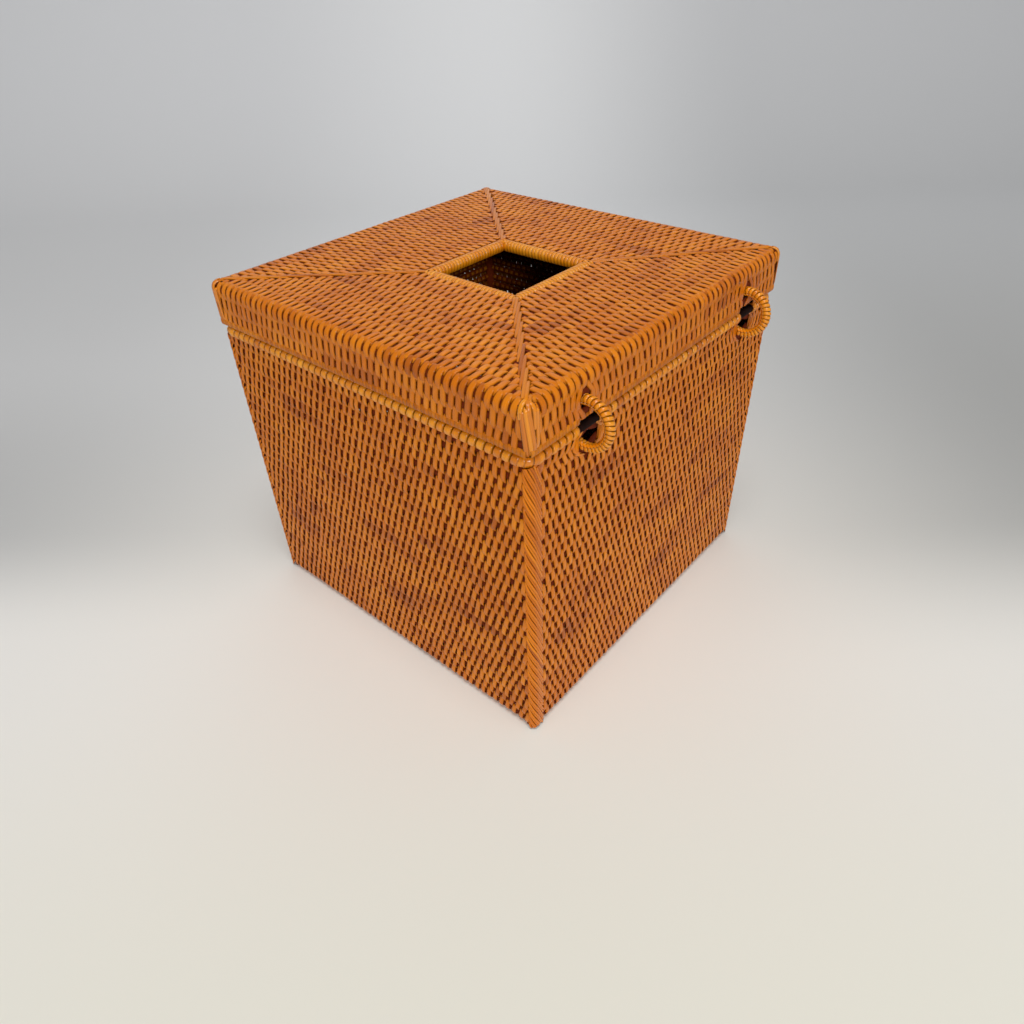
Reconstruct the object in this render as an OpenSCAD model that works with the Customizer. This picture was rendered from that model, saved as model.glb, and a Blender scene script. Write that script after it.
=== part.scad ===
// Square box cover for a cube of tissues, woven in split rattan.
// The base stands on its bottom panel. The lid turns on two bound rings at the rear (+Y) wall.
// The origin is the middle of the bottom face, with +Z up and the front wall at -Y.

/* [Base] */
// Width over the two side walls
box_w = 164; // [140:1:220]
// Depth from the front wall to the rear wall
box_d = 164; // [140:1:220]
// Height from the table to the top of the rim
base_h = 132.6; // [110:0.2:180]
// Thickness of a woven wall, over the crests of its rows
wall_t = 5; // [4:0.1:6]
// Thickness of the woven bottom
bottom_t = 5; // [4:0.1:8]
// Rounding of the vertical corners
corner_r = 3.5; // [1:0.1:3.8]
// Rounding of the lower edge, where the strands turn under
foot_r = 3.8; // [1:0.1:3.9]

/* [Weave] */
// Height of one row of weave on the walls and the bottom
row_pitch = 4.65; // [3.5:0.05:7]
// Height of one row of weave on the lid's top
lid_row_pitch = 4.5; // [3.5:0.05:7]
// Depth of the furrow between two rows
furrow = 1.3; // [0.2:0.1:1.6]

/* [Rim] */
// Diameter of the rod in the rim
rim_rod_d = 3.2; // [2.4:0.1:3.6]
// Thickness of the strip wound round the rim rod
rim_strip_t = 0.6; // [0.4:0.1:0.8]
// How far the wound rim stands out past the walls
rim_proud = 0.5; // [0:0.1:0.6]
// Bend radius of the rim at its corners, on the rod's centre line
rim_bend_r = 4; // [3:0.1:12]

/* [Lid] */
// How far the lid stands out past the walls on each side
lid_overhang = 0.6; // [0:0.1:2]
// Height of the woven skirt
skirt_h = 13.8; // [12.5:0.1:30]
// Thickness of the flat top, over the crests of its rows
lid_t = 4.9; // [4:0.1:7]
// Rounding where the strands turn from the top to the skirt
lid_edge_r = 4.2; // [1:0.1:4.4]
// Gap between the rim and the lid's lower edge
parting_gap = 0.6; // [0.4:0.1:2]
// Width of a diagonal plait
seam_w = 4.4; // [3:0.1:7]
// How far a diagonal plait stands above the top
seam_proud = 0.4; // [0.1:0.1:1]
// Radius of a diagonal plait's crown
seam_crown_r = 4; // [3.6:0.1:8]

/* [Opening] */
// Width of the tissue opening
opening_w = 40; // [25:1:70]
// Depth of the tissue opening
opening_d = 40; // [25:1:70]
// Offset of the opening from the middle, towards the right wall
opening_shift_x = 1.5; // [-8:0.5:8]
// Offset of the opening from the middle, towards the rear wall
opening_shift_y = 6; // [-8:0.5:8]
// Width of the turned-over edge round the opening
opening_edge_w = 5; // [4:0.1:8]

/* [Hinge rings] */
// Distance from the lid's side face to the nearer ring
ring_inset = 28.6; // [12:0.2:60]
// Radius of a ring on its centre line
ring_r = 9; // [8.6:0.1:11]
// Diameter of a ring's rattan core
ring_core_d = 1.7; // [1.4:0.1:1.9]
// Thickness of the strip wound round a ring
ring_strip_t = 0.55; // [0.4:0.05:0.7]
// Width of the strip wound round a ring
ring_strip_w = 1.3; // [0.8:0.1:1.4]
// Turns of strip round a ring
ring_turns = 24; // [12:1:24]
// How far the hinge line lies outside the lid's rear face
hinge_standoff = 0.6; // [0.5:0.1:2]
// Room for a ring in the gap that it passes through
ring_clearance = 0.3; // [0.3:0.05:0.8]

/* [Hidden] */
$fn = 48;

// Colours of the strands, the plaits, the wound strip and the bare rods
weave_colour = "peru";
plait_colour = "burlywood";
strip_colour = "goldenrod";
rod_colour = "tan";

// Gap between a rounded or ribbed face and the piece of the same body beside it
joint_gap = 0.1;
// Overrun of a cut past the face that it starts from
overrun = 1;

// The rim: the wound strip round its rod
rim_od = rim_rod_d + 2 * joint_gap + 2 * rim_strip_t;
rim_z = base_h - rim_od / 2;
rim_inset = rim_od / 2 - rim_proud;
wall_top = base_h - rim_od - joint_gap;

// The lid, from its lower edge up
skirt_z = base_h + parting_gap;
top_z = skirt_z + skirt_h + joint_gap;
lid_w = box_w + 2 * lid_overhang;
lid_d = box_d + 2 * lid_overhang;

// The hinge line runs along X through the middles of both rings
hinge_y = lid_d / 2 + hinge_standoff;
hinge_z = base_h + parting_gap / 2;
ring_x = lid_w / 2 - ring_inset;

// The strip's path round a ring's core, wide enough that its straight stretches clear the core
curl_rings = 8;
strip_sides = 6;
strip_r = (ring_core_d / 2 + joint_gap + ring_strip_t / 2) / cos(180 / curl_rings);
ring_tube_r = strip_r + ring_strip_t / 2;

// The gap for a ring in a wall whose outer face stands back from the hinge line
ring_inner = ring_r - ring_tube_r - ring_clearance;
ring_outer = ring_r + ring_tube_r + ring_clearance;
function gap_start(setback) = sqrt(max(0, pow(ring_inner, 2) - pow(setback + wall_t, 2)));

// Radius of a row's crest that leaves furrows of the stated depth
function crest_radius(row_h) = (pow(row_h / 2, 2) + pow(furrow, 2)) / (2 * furrow);

// Turn about +Z that carries a piece from the rear wall to a side
function turn(side) = side == "rear" ? 0 : side == "left" ? 90 : side == "front" ? 180 : 270;

// Size of a piece's side of the box, and how far its outer face lies from the middle
function across(side, w, d) = turn(side) % 180 == 0 ? w : d;
function reach(side, w, d) = across(side, d, w) / 2;

// Cross-section of a woven panel: rows of equal height up Y, crests on both faces along X
module woven_section(height, thickness, pitch) {
    rows = max(1, round(height / pitch));
    row_h = height / rows;
    crest_r = crest_radius(row_h);
    intersection() {
        translate([-thickness / 2, 0]) square([thickness, height]);
        union() {
            for (row = [0 : rows - 1])
                translate([0, (row + 1 / 2) * row_h])
                    intersection() {
                        translate([thickness / 2 - crest_r, 0]) circle(r = crest_r);
                        translate([crest_r - thickness / 2, 0]) circle(r = crest_r);
                    }
        }
    }
}

// Stands a cross-section up and draws it out along X, with the section's X pointing to the rear
module drawn_along_x(length) {
    rotate([90, 0, 90]) linear_extrude(length, center = true) children();
}

// Outline of a wall seen from its end: rounded outside at the foot, with its outer face on X = 0
module foot_outline(thickness, height) {
    translate([-thickness, 0]) square([thickness - foot_r, height]);
    translate([-foot_r, foot_r]) circle(r = foot_r);
    translate([-foot_r, foot_r]) square([foot_r, height - foot_r]);
}

// The gaps between strands that the two rings pass through, below or above the hinge line
module ring_gaps(setback, upward) {
    start = gap_start(setback);
    height = ring_outer - start;
    width = 2 * (ring_tube_r + ring_clearance);
    for (x = [-ring_x, ring_x])
        translate([x - width / 2,
                   hinge_y - setback - wall_t - overrun,
                   hinge_z + (upward ? start : -ring_outer)])
            cube([width, wall_t + 2 * overrun, height]);
}

module base_wall(side) {
    length = across(side, box_w, box_d) - 2 * wall_t;
    rotate(turn(side))
        translate([0, reach(side, box_w, box_d), 0])
            drawn_along_x(length)
                intersection() {
                    translate([-wall_t / 2, 0]) woven_section(wall_top, wall_t, row_pitch);
                    foot_outline(wall_t, wall_top);
                }
}

module base_wall_plain(side) {
    color(weave_colour) base_wall(side);
}

module base_wall_hinge() {
    color(weave_colour)
        difference() {
            base_wall("rear");
            ring_gaps(hinge_y - box_d / 2, false);
        }
}

module base_bottom() {
    inner_w = box_w - 2 * wall_t - 2 * joint_gap;
    inner_d = box_d - 2 * wall_t - 2 * joint_gap;
    rows = round(inner_d / row_pitch);
    row_d = inner_d / rows;
    crest_r = crest_radius(row_d);
    backing_t = bottom_t - furrow - joint_gap;
    color(weave_colour)
        drawn_along_x(inner_w)
            intersection() {
                translate([-inner_d / 2, 0]) square([inner_d, bottom_t]);
                union() {
                    translate([-inner_d / 2, 0]) square([inner_d, backing_t]);
                    for (row = [0 : rows - 1])
                        translate([(row + 1 / 2) * row_d - inner_d / 2, 0])
                            intersection() {
                                translate([0, bottom_t - crest_r]) circle(r = crest_r);
                                translate([-row_d, backing_t - joint_gap]) square([2 * row_d, bottom_t]);
                            }
                }
            }
}

// Square with its outer edge rounded, with the corner point on the origin
module corner_outline(size) {
    intersection() {
        translate([-size, -size]) square(size);
        union() {
            translate([-size, -size]) square([size - corner_r, size]);
            translate([-size, -size]) square([size, size - corner_r]);
            translate([-corner_r, -corner_r]) circle(r = corner_r);
        }
    }
}

// Turns a rear-right corner piece to the corner that two signs pick
module at_corner(sign_x, sign_y, w, d) {
    translate([sign_x * w / 2, sign_y * d / 2, 0])
        mirror([sign_x < 0 ? 1 : 0, 0, 0])
            mirror([0, sign_y < 0 ? 1 : 0, 0])
                children();
}

module base_corner(sign_x, sign_y) {
    color(plait_colour)
        at_corner(sign_x, sign_y, box_w, box_d)
            intersection() {
                linear_extrude(wall_top) corner_outline(wall_t);
                drawn_along_x(2 * wall_t + 2 * overrun) foot_outline(wall_t, wall_top);
                rotate([90, 0, 0])
                    linear_extrude(2 * wall_t + 2 * overrun, center = true) foot_outline(wall_t, wall_top);
            }
}

// A round bar bent into a rectangle, on the centre line of the rim
module rim_loop(diameter) {
    half_w = box_w / 2 - rim_inset;
    half_d = box_d / 2 - rim_inset;
    translate([0, 0, rim_z]) {
        for (sign_x = [-1, 1])
            translate([sign_x * half_w, 0, 0])
                rotate([90, 0, 0])
                    cylinder(d = diameter, h = 2 * (half_d - rim_bend_r), center = true);
        for (sign_y = [-1, 1])
            translate([0, sign_y * half_d, 0])
                rotate([0, 90, 0])
                    cylinder(d = diameter, h = 2 * (half_w - rim_bend_r), center = true);
        for (side = ["rear", "left", "front", "right"])
            rotate(turn(side))
                translate([across(side, half_w, half_d) - rim_bend_r,
                           across(side, half_d, half_w) - rim_bend_r, 0])
                    rotate_extrude(angle = 90)
                        translate([rim_bend_r, 0]) circle(d = diameter);
    }
}

module rim_rod() {
    color(rod_colour) rim_loop(rim_rod_d);
}

module rim_binding() {
    color(strip_colour)
        difference() {
            rim_loop(rim_od);
            rim_loop(rim_rod_d + 2 * joint_gap);
        }
}

// Outer form of the lid's flat top: rounded at its upper edges and down its corners
module lid_top_form(height) {
    intersection() {
        drawn_along_x(lid_w + 2 * overrun) lid_top_outline(lid_d, height);
        rotate(turn("left")) drawn_along_x(lid_d + 2 * overrun) lid_top_outline(lid_w, height);
        linear_extrude(top_z + height + overrun) {
            square([lid_w - 2 * corner_r, lid_d], center = true);
            square([lid_w, lid_d - 2 * corner_r], center = true);
            for (x = [-1, 1], y = [-1, 1])
                translate([x * (lid_w / 2 - corner_r), y * (lid_d / 2 - corner_r)]) circle(r = corner_r);
        }
    }
}

module lid_top_outline(width, height) {
    translate([-width / 2, top_z]) square([width, height - lid_edge_r]);
    translate([lid_edge_r - width / 2, top_z]) square([width - 2 * lid_edge_r, height]);
    for (sign = [-1, 1])
        translate([sign * (width / 2 - lid_edge_r), top_z + height - lid_edge_r]) circle(r = lid_edge_r);
}

// A corner of the turned-over edge's outer outline, and a corner of the lid
function edge_corner(sign_x, sign_y) =
    [opening_shift_x + sign_x * (opening_w / 2 + opening_edge_w),
     opening_shift_y + sign_y * (opening_d / 2 + opening_edge_w)];
function lid_corner_point(sign_x, sign_y) = [sign_x * lid_w / 2, sign_y * lid_d / 2];

// Signs of the corners at the two ends of a side, anticlockwise seen from above
function corner_after(side) = [[-1, 1], [-1, -1], [1, -1], [1, 1]][turn(side) / 90];
function corner_before(side) = [[1, 1], [-1, 1], [-1, -1], [1, -1]][turn(side) / 90];

// Draws a cross-section along the mitre between two panels, past the opening's corner and the lid's
module drawn_along_mitre(sign_x, sign_y) {
    from = edge_corner(sign_x, sign_y);
    to = lid_corner_point(sign_x, sign_y);
    length = norm(to - from);
    translate([from[0], from[1], top_z])
        rotate(atan2(to[1] - from[1], to[0] - from[0]))
            translate([length / 2, 0, 0])
                rotate([90, 0, 90])
                    linear_extrude(length + 2 * seam_w, center = true) children();
}

module lid_panel(side) {
    before = corner_before(side);
    after = corner_after(side);
    shift = [opening_shift_y, -opening_shift_x, -opening_shift_y, opening_shift_x][turn(side) / 90];
    inner = shift + across(side, opening_d, opening_w) / 2 + opening_edge_w;
    depth = reach(side, lid_w, lid_d) - inner;
    color(weave_colour)
        difference() {
            intersection() {
                rotate(turn(side))
                    translate([0, inner, top_z + lid_t / 2])
                        drawn_along_x(across(side, lid_w, lid_d) + 2 * overrun)
                            rotate(-90) woven_section(depth, lid_t, lid_row_pitch);
                translate([0, 0, top_z])
                    linear_extrude(lid_t)
                        polygon([lid_corner_point(before[0], before[1]), lid_corner_point(after[0], after[1]),
                                 edge_corner(after[0], after[1]), edge_corner(before[0], before[1])]);
                lid_top_form(lid_t);
            }
            for (signs = [before, after])
                drawn_along_mitre(signs[0], signs[1])
                    translate([-seam_w / 2, -overrun]) square([seam_w, lid_t + 2 * overrun]);
        }
}

// Outer block of the turned-over edge, which the plaits stop at
module opening_block() {
    w = opening_w + 2 * opening_edge_w;
    d = opening_d + 2 * opening_edge_w;
    translate([opening_shift_x - w / 2, opening_shift_y - d / 2, top_z - overrun])
        cube([w, d, lid_t + seam_proud + 2 * overrun]);
}

module lid_seam(sign_x, sign_y) {
    height = lid_t + seam_proud;
    color(plait_colour)
        difference() {
            intersection() {
                drawn_along_mitre(sign_x, sign_y)
                    intersection() {
                        translate([-seam_w / 2, 0]) square([seam_w, height]);
                        translate([0, height - seam_crown_r]) circle(r = seam_crown_r);
                    }
                lid_top_form(height);
            }
            opening_block();
        }
}

// One side of the turned-over edge: round towards the opening, mitred at its ends
module opening_edge_side(side) {
    inner_reach = across(side, opening_d, opening_w) / 2;
    half = across(side, opening_w, opening_d) / 2;
    outer_half = half + opening_edge_w;
    intersection() {
        translate([0, inner_reach, top_z])
            drawn_along_x(2 * outer_half) {
                translate([lid_t / 2, lid_t / 2]) circle(d = lid_t);
                translate([lid_t / 2, 0]) square([opening_edge_w - lid_t / 2, lid_t]);
            }
        translate([0, 0, top_z])
            linear_extrude(lid_t)
                polygon([[-half, inner_reach], [half, inner_reach],
                         [outer_half, inner_reach + opening_edge_w],
                         [-outer_half, inner_reach + opening_edge_w]]);
    }
}

module lid_opening_edge() {
    color(strip_colour)
        translate([opening_shift_x, opening_shift_y, 0])
            for (side = ["rear", "left", "front", "right"])
                rotate(turn(side)) opening_edge_side(side);
}

module lid_skirt(side) {
    rotate(turn(side))
        translate([0, reach(side, lid_w, lid_d) - wall_t / 2, skirt_z])
            drawn_along_x(across(side, lid_w, lid_d) - 2 * wall_t) woven_section(skirt_h, wall_t, row_pitch);
}

module lid_skirt_plain(side) {
    color(weave_colour) lid_skirt(side);
}

module lid_skirt_hinge() {
    color(weave_colour)
        difference() {
            lid_skirt("rear");
            ring_gaps(hinge_standoff, true);
        }
}

module lid_corner(sign_x, sign_y) {
    color(plait_colour)
        at_corner(sign_x, sign_y, lid_w, lid_d)
            translate([0, 0, skirt_z])
                linear_extrude(skirt_h) corner_outline(wall_t);
}

// Middle of the strip at a winding angle, seen from the ring's own middle
function strip_middle(wind) =
    let (around = wind / ring_turns, out = ring_r + strip_r * cos(wind))
    [strip_r * sin(wind), out * cos(around), out * sin(around)];

// One six-sided ring of points across the strip: thin away from the core, wide along it
function strip_ring(wind) =
    let (around = wind / ring_turns,
         step = 1 / ring_turns,
         ahead = strip_middle(wind + step) - strip_middle(wind - step),
         along = ahead / norm(ahead),
         away = [sin(wind), cos(wind) * cos(around), cos(wind) * sin(around)],
         aside = cross(along, away))
    [for (i = [0 : strip_sides - 1])
        strip_middle(wind)
        + away * cos(360 * i / strip_sides) * ring_strip_t / 2
        + aside * sin(360 * i / strip_sides) * ring_strip_w / 2];

strip_steps = ring_turns * curl_rings;
strip_points = [for (i = [0 : strip_steps - 1]) each strip_ring(360 * i / curl_rings)];
strip_faces = [for (i = [0 : strip_steps - 1], k = [0 : strip_sides - 1])
    let (a = i * strip_sides + k,
         b = i * strip_sides + (k + 1) % strip_sides,
         c = ((i + 1) % strip_steps) * strip_sides + k,
         d = ((i + 1) % strip_steps) * strip_sides + (k + 1) % strip_sides)
    each [[a, c, b], [b, c, d]]];

// Least distance between the first turn of the strip and the turns beside it, measured on its points
strip_gap = min([for (i = [0 : curl_rings * strip_sides - 1],
                      k = [(curl_rings + curl_rings / 2) * strip_sides : 3 * curl_rings * strip_sides])
    if (abs(floor(i / strip_sides) - floor(k / strip_sides)) > curl_rings / 2)
        norm(strip_points[i] - strip_points[k])]);
echo(str("Least gap of a ring's wound strip to itself: ", strip_gap, " mm"));

module at_ring(sign) {
    translate([sign * ring_x, hinge_y, hinge_z]) children();
}

module ring_core(sign) {
    color(rod_colour)
        at_ring(sign)
            rotate([0, 90, 0])
                rotate_extrude()
                    translate([ring_r, 0]) circle(d = ring_core_d);
}

module ring_binding(sign) {
    color(strip_colour)
        at_ring(sign)
            polyhedron(points = strip_points, faces = strip_faces);
}

base_bottom();
base_wall_plain("front");  // base_wall_front
base_wall_plain("right");  // base_wall_right
base_wall_hinge();  // base_wall_rear
base_wall_plain("left");  // base_wall_left
base_corner(1, -1);  // base_corner_front_right
base_corner(1, 1);  // base_corner_rear_right
base_corner(-1, 1);  // base_corner_rear_left
base_corner(-1, -1);  // base_corner_front_left
rim_rod();
rim_binding();
lid_panel("front");  // lid_panel_front
lid_panel("right");  // lid_panel_right
lid_panel("rear");  // lid_panel_rear
lid_panel("left");  // lid_panel_left
lid_seam(1, -1);  // lid_seam_front_right
lid_seam(1, 1);  // lid_seam_rear_right
lid_seam(-1, 1);  // lid_seam_rear_left
lid_seam(-1, -1);  // lid_seam_front_left
lid_opening_edge();
lid_skirt_plain("front");  // lid_skirt_front
lid_skirt_plain("right");  // lid_skirt_right
lid_skirt_hinge();  // lid_skirt_rear
lid_skirt_plain("left");  // lid_skirt_left
lid_corner(1, -1);  // lid_corner_front_right
lid_corner(1, 1);  // lid_corner_rear_right
lid_corner(-1, 1);  // lid_corner_rear_left
lid_corner(-1, -1);  // lid_corner_front_left
ring_core(-1);  // ring_left_core
ring_binding(-1);  // ring_left_binding
ring_core(1);  // ring_right_core
ring_binding(1);  // ring_right_binding
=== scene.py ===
# %% [markdown]
# # A woven rattan cover for a box of tissues
# The object is a square basket with a hinged lid. Strands of split rattan are
# woven over stacks of dark rods, a wrapped rim goes round the top of the base,
# and two bound rings carry the lid. This lesson makes each of them with
# Geometry Nodes, since every surface here is one small stitch said many times.

# %% Load the frame that the CAD model gave
import math

import bpy
from mathutils import Matrix, Vector


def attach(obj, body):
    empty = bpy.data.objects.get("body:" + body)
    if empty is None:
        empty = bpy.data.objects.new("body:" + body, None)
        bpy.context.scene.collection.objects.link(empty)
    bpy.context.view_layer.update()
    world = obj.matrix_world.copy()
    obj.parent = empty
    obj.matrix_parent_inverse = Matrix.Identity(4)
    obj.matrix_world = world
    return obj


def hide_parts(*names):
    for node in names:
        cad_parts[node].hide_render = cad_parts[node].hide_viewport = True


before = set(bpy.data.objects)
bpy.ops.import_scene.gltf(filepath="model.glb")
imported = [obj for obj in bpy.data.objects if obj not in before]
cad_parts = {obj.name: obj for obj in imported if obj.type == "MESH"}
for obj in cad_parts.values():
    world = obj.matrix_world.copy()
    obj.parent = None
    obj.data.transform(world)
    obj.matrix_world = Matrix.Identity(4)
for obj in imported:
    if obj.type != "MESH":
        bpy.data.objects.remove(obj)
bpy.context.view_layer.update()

MM = 0.001

# %% [markdown]
# ## Sizes
# The sizes are those of the construction, in metres. A wall is 5 mm thick from
# the crest of an outer stitch to the crest of an inner one, and the rods lie in
# the middle of it, so everything is placed from that middle plane.

# %% Sizes of the basket
WALL_FACE = 82.0 * MM  # middle of the box to the face of a wall
WALL_MIDDLE = 80.3 * MM  # and to the rods inside that wall
WALL_TOP = 127.9 * MM  # where the wall meets the wrapped rim
LID_FACE = 82.6 * MM
LID_SKIN = 1.25 * MM  # depth of the rods below the lid's face
LID_MIDDLE = LID_FACE - LID_SKIN
LID_TOP = 152.0 * MM
SKIRT_FOOT = 133.2 * MM
RIM_LINE = 80.2 * MM
RIM_HEIGHT = 130.3 * MM
OPENING_CENTRE = (1.5 * MM, 6.0 * MM)
OPENING_HALF = 20.0 * MM
OPENING_EDGE = 5.0 * MM
RING_X = 54.0 * MM
RING_LINE = (83.2 * MM, 132.9 * MM)
RING_RADIUS = 9.0 * MM

# The outward direction of each side, seen from above.
SIDES = {"front": Vector((0, -1, 0)), "right": Vector((1, 0, 0)),
         "rear": Vector((0, 1, 0)), "left": Vector((-1, 0, 0))}
UP = Vector((0, 0, 1))

# %% [markdown]
# ## Helpers
# A tree is a long list of nodes, so one small function adds a node, sets it and
# links it. Inputs are given by name or by number, as a value or as another node.
# In a sum a node stands for its output, so what a tree works out reads as plain
# arithmetic. The other helpers say the commonest nodes in fewer words.

# %% Helpers
MATH = "ShaderNodeMath"
VECTOR = "ShaderNodeVectorMath"


class Made:
    """An added node, standing for its first output; brackets take another one."""

    def __init__(self, tree, node, key=None):
        self.tree, self.node = tree, node
        outputs = node.outputs
        self.socket = outputs[key] if key is not None else next(
            (output for output in outputs if output.enabled), None)

    def __getitem__(self, key):
        return Made(self.tree, self.node, key)

    def do(self, operation, *others):
        """One maths node, such as SINE or MINIMUM, on this value and others."""
        return add(self.tree, MATH, dict(enumerate((self, *others))), operation=operation)

    def __add__(self, other):
        return self.do("ADD", other)

    def __sub__(self, other):
        return self.do("SUBTRACT", other)

    def __mul__(self, other):
        return self.do("MULTIPLY", other)

    def __truediv__(self, other):
        return self.do("DIVIDE", other)


def add(tree, kind, inputs=None, **settings):
    """Add one node, with its settings and what goes into its inputs."""
    node = tree.nodes.new(kind)
    for name, value in settings.items():
        setattr(node, name, value)
    for key, value in (inputs or {}).items():
        if isinstance(value, Made):
            tree.links.new(value.socket, node.inputs[key])
        else:
            node.inputs[key].default_value = value
    return Made(tree, node)


def rescale(t, value, start, end):
    """Carry one range over to another, held at its ends."""
    return add(t, "ShaderNodeMapRange", {
        "Value": value, "From Min": start[0], "From Max": start[1],
        "To Min": end[0], "To Max": end[1]})


def vector(t, x=0.0, y=0.0, z=0.0):
    """A vector from its three parts."""
    return add(t, "ShaderNodeCombineXYZ", {0: x, 1: y, 2: z})


def parts(t, whole):
    """The X, Y and Z of a vector."""
    split = add(t, "ShaderNodeSeparateXYZ", {0: whole})
    return [split[axis] for axis in "XYZ"]


def noise(t, place, detail, scale=1.0):
    """Soft noise at a place that the tree works out."""
    return add(t, "ShaderNodeTexNoise", {"Vector": place, "Scale": scale, "Detail": detail})


def attribute(t, name, output):
    """What a piece has stored on its points, for a material."""
    return add(t, "ShaderNodeAttribute", attribute_name=name)[output]


def linear(hex_colour):
    """An sRGB hex colour as the linear values that a shader wants."""
    levels = [int(hex_colour[i:i + 2], 16) / 255 for i in (1, 3, 5)]
    return tuple(p / 12.92 if p <= 0.04045 else ((p + 0.055) / 1.055) ** 2.4
                 for p in levels) + (1.0,)


def colour_ramp(t, place, stops, interpolation="LINEAR"):
    """Colours along a ramp, from stops of (place, sRGB hex colour)."""
    made = add(t, "ShaderNodeValToRGB", {0: place})
    ramp = made.node.color_ramp
    ramp.interpolation = interpolation
    while len(ramp.elements) < len(stops):
        ramp.elements.new(0.5)
    for element, (where, colour) in zip(ramp.elements, stops):
        element.position = where
        element.color = linear(colour)
    return made


def make_material(name, build):
    """A new material. The build function adds the nodes and gives the shader's inputs."""
    material = bpy.data.materials.new(name)
    material.use_nodes = True
    t = material.node_tree
    t.nodes.clear()
    shader = add(t, "ShaderNodeBsdfPrincipled", build(t))
    add(t, "ShaderNodeOutputMaterial", {"Surface": shader})
    return material


def put(name, data):
    """A new object in the scene, at the origin."""
    thing = bpy.data.objects.new(name, data)
    bpy.context.scene.collection.objects.link(thing)
    return thing


# %% [markdown]
# ## Camera
# The photograph looks down at the corner beside the hinge wall. The camera was
# fitted to the lid's and the base's corners, as a wide phone lens close by.

# %% Camera at the photograph's angle
CAMERA_PLACE = Vector((0.22069, 0.19894, 0.25629))
LOOK = Vector((-0.58612, -0.52548, -0.61672)).normalized()
ACROSS = Vector((-0.64883, 0.76029, -0.03118)).normalized()
SENSOR_WIDTH, LENS = 36.0, 26.04  # in mm, as cameras are sold

camera_data = bpy.data.cameras.new("camera")
camera_data.sensor_width = SENSOR_WIDTH
camera_data.lens = LENS
camera_data.clip_start = 10 * MM
camera = put("camera", camera_data)
camera.matrix_world = Matrix.Translation(CAMERA_PLACE) @ Matrix(
    (ACROSS, ACROSS.cross(LOOK).normalized(), -LOOK)).transposed().to_4x4()
bpy.context.scene.camera = camera
print("camera lens", camera_data.lens)

# %% [markdown]
# ## Materials
# Split rattan is the hard outer skin of the cane, pared to a flat strand. Here
# it is stained and lacquered, which gives a warm golden brown with soft small
# glints. The stain took unevenly, so darker and paler streaks run along the
# rows. A plain noise would lie over the weave like a shadow. So the trees store
# on each strand where it is, and the colour follows that: `weave` is (mm along
# the row, rows, number of the strand), `relief` how far it stands out, and
# `side` where a point is across the strand.

# %% Lacquered split rattan
STREAKS_PER_MM = 0.028  # a streak is some 60 mm long
STREAKS_PER_ROW = 0.42  # and two or three rows high
STITCH_CONTRAST = 0.20  # how much one stitch differs from the next
FIBRES = 5.0  # fine fibres across half a strand


def rattan(name, dark, middle, light, streak, gloss):
    """Lacquered split rattan: streaked along the rows, fine fibres, soft gloss, and painted
    shade on deep and inward faces.
    """
    def build(t):
        along, rows, number = parts(t, attribute(t, "weave", "Vector"))
        # A tone lasts two rows, which is about one visible stitch.
        row = ((rows + number) * 0.5 + 0.5 / 6).do("FLOOR") * 2.0 - number
        tone = noise(t, vector(t, along * STREAKS_PER_MM, row * STREAKS_PER_ROW), 1.5)
        stitch = add(t, "ShaderNodeTexWhiteNoise", {"Vector": vector(t, number, row)})["Value"]
        shade = stitch * STITCH_CONTRAST - STITCH_CONTRAST / 2
        colours = colour_ramp(t, tone + shade, (
            (0.5 - 0.20 / streak, dark), (0.5 - 0.07 / streak, middle),
            (0.5 + 0.20 / streak, light)))
        side_x, side_y, _ = parts(t, attribute(t, "side", "Vector"))
        # Fibres run along the strand.
        fibre = noise(t, vector(t, side_x * FIBRES, rows, number), 2.0)
        grain = rescale(t, fibre, (0.3, 0.7), (0.86, 1.10))
        # Painted shade: the face of a strand that lies deep, seen from either side, is darkened.
        deep_shade = rescale(t, attribute(t, "relief", "Fac") * side_y, (-1.0, 0.5), (1.12, 0.34))
        # Painted shade: the side that faces into the basket is darker.
        inner = rescale(t, side_y, (-0.2, 0.5), (1.0, 0.5))
        # The streaked stain colour is multiplied by the grain and by the painted shade.
        value = grain * (deep_shade * inner)
        stain_and_shade = add(t, "ShaderNodeMix", {
            "Factor": 1.0, 6: colours,
            7: add(t, "ShaderNodeCombineColor", {0: value, 1: value, 2: value})},
            data_type="RGBA", blend_type="MULTIPLY")
        return {"Base Color": stain_and_shade[2],
                "Roughness": rescale(t, fibre, (0.3, 0.7), (0.30, 0.16)),
                "Normal": add(t, "ShaderNodeBump", {
                    "Height": fibre, "Strength": 0.35, "Distance": 0.12 * MM}),
                "IOR": 1.5, "Specular IOR Level": gloss}
    return make_material(name, build)


def cane_rod(name, dark, light):
    """Round rattan core in the dark colours given: fine lines, rough, with hardly any gloss."""
    def build(t):
        grain = noise(t, add(t, "ShaderNodeTexCoord")["Object"], 2.0, scale=900.0)
        colours = add(t, "ShaderNodeMix", {
            "Factor": grain, 6: linear(dark), 7: linear(light)}, data_type="RGBA")
        return {"Base Color": colours[2], "Roughness": 0.8, "Specular IOR Level": 0.15,
                "Normal": add(t, "ShaderNodeBump", {
                    "Height": grain, "Strength": 0.3, "Distance": 0.1 * MM})}
    return make_material(name, build)


woven_skin = rattan("lacquered_split_rattan", "#B25A12", "#D57209", "#E88816", streak=0.85,
                    gloss=0.24)
wrapped_skin = rattan("lacquered_rattan_wrap", "#B65A06", "#E08206", "#F2A022", streak=0.7,
                      gloss=0.6)
# The rods' dark red-brown is partly their stain and partly painted shade for the holes between
# strands.
stained_and_shaded_rod = cane_rod("stained_rattan_core_with_shade", "#5A1A02", "#7E2E04")
# The near-black core is painted shade: it shows only in the shade inside the rim and the rings.
shaded_rod = cane_rod("rattan_core_painted_shade", "#140602", "#240A03")

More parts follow.
